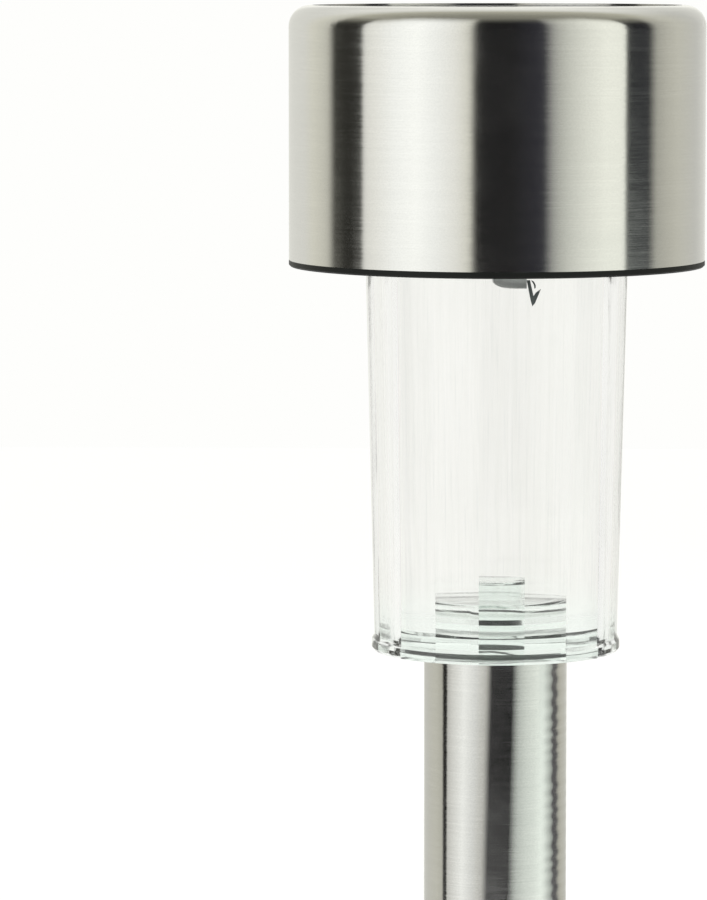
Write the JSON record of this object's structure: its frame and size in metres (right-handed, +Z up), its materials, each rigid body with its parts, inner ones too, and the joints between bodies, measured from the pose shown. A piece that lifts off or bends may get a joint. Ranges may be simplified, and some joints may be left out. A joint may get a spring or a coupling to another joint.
{
  "type": "solar garden light",
  "caption": "Stake light with a steel drum head, solar panel on top, clear fluted lens, steel pole and ground spike; head twists off its lens, pole and lens pull apart.",
  "frame": {"origin": "on the light's axis at ground level, the plane where the pole stands on the spike's collar", "axes": "+Z up along the pole to the head, -Y towards the viewer of the picture, +X to the viewer's right"},
  "size_m": [0.055, 0.055, 0.3605],
  "materials": {
    "spike_plastic": "black moulded plastic, fine grain",
    "pole_steel": "stainless tube ground round its axis",
    "clear_plastic": "clear moulded plastic with flat flutes inside",
    "adapter_plastic": "clear moulded plastic",
    "seal_rubber": "soft black rubber",
    "black_plastic": "black moulded plastic, satin",
    "housing_plastic": "black moulded plastic, satin",
    "cap_steel": "stainless sheet brushed round its axis",
    "screw_steel": "zinc plated steel",
    "panel_backing": "dark glass fibre board",
    "silicon": "dark blue silicon",
    "ribbon_metal": "tinned ribbon",
    "panel_resin": "clear epoxy, slightly domed gloss",
    "battery_metal": "nickel plated steel",
    "battery_wrap": "shrunk plastic sleeve, bare of print",
    "spring_metal": "nickel plated spring wire",
    "contact_metal": "nickel plated spring steel",
    "board_laminate": "green solder resist",
    "chip_epoxy": "black moulded epoxy, unmarked",
    "ferrite": "dark ferrite drum",
    "led_epoxy": "water-clear epoxy",
    "leg_metal": "tinned steel",
    "switch_metal": "plated steel shell",
    "knob_plastic": "black nylon",
    "red_insulation": "red wire insulation",
    "black_insulation": "black wire insulation"
  },
  "bodies": {
    "spike": {"ground_spike": "spike_plastic"},
    "pole": {"pole_tube": "pole_steel"},
    "lamp_lens": {"lens": "clear_plastic", "pole_adapter": "adapter_plastic"},
    "seal": {"seal_ring": "seal_rubber"},
    "head": {"base_plate": "black_plastic", "top_housing": "housing_plastic", "cap_shell": "cap_steel", "cover_screws": "screw_steel", "panel_board": "panel_backing", "solar_cells": "silicon", "cell_busbars": "ribbon_metal", "panel_resin": "panel_resin", "battery_can": "battery_metal", "battery_sleeve": "battery_wrap", "contact_spring": "spring_metal", "contact_plates": "contact_metal", "circuit_board": "board_laminate", "board_screws": "screw_steel", "driver_chip": "chip_epoxy", "inductor": "ferrite", "led": "led_epoxy", "led_legs": "leg_metal", "switch_body": "switch_metal", "red_wires": "red_insulation", "black_wires": "black_insulation"},
    "knob": {"switch_knob": "knob_plastic"}
  },
  "joints": [
    {"name": "pole_lift", "type": "slide", "parent": "spike", "child": "pole", "axis": [0, 0, 1], "range_m": [0, 0.024]},
    {"name": "lens_lift", "type": "slide", "parent": "pole", "child": "lamp_lens", "axis": [0, 0, 1], "range_m": [0, 0.014]},
    {"name": "head_turn", "type": "hinge", "parent": "lamp_lens", "child": "seal", "pos_m": [0, 0, 0.2351], "axis": [0, 0, 1], "range_deg": [0, 90]},
    {"name": "head_rise", "type": "slide", "parent": "seal", "child": "head", "axis": [0, 0, 1], "range_m": [0, 0.008]},
    {"name": "switch_slide", "type": "slide", "parent": "head", "child": "knob", "axis": [1, 0, 0], "range_m": [0, 0.002]}
  ],
  "couplings": [
    {"joint": "head_rise", "follows": "head_turn", "m_per_rad": 0.0050929}
  ]
}
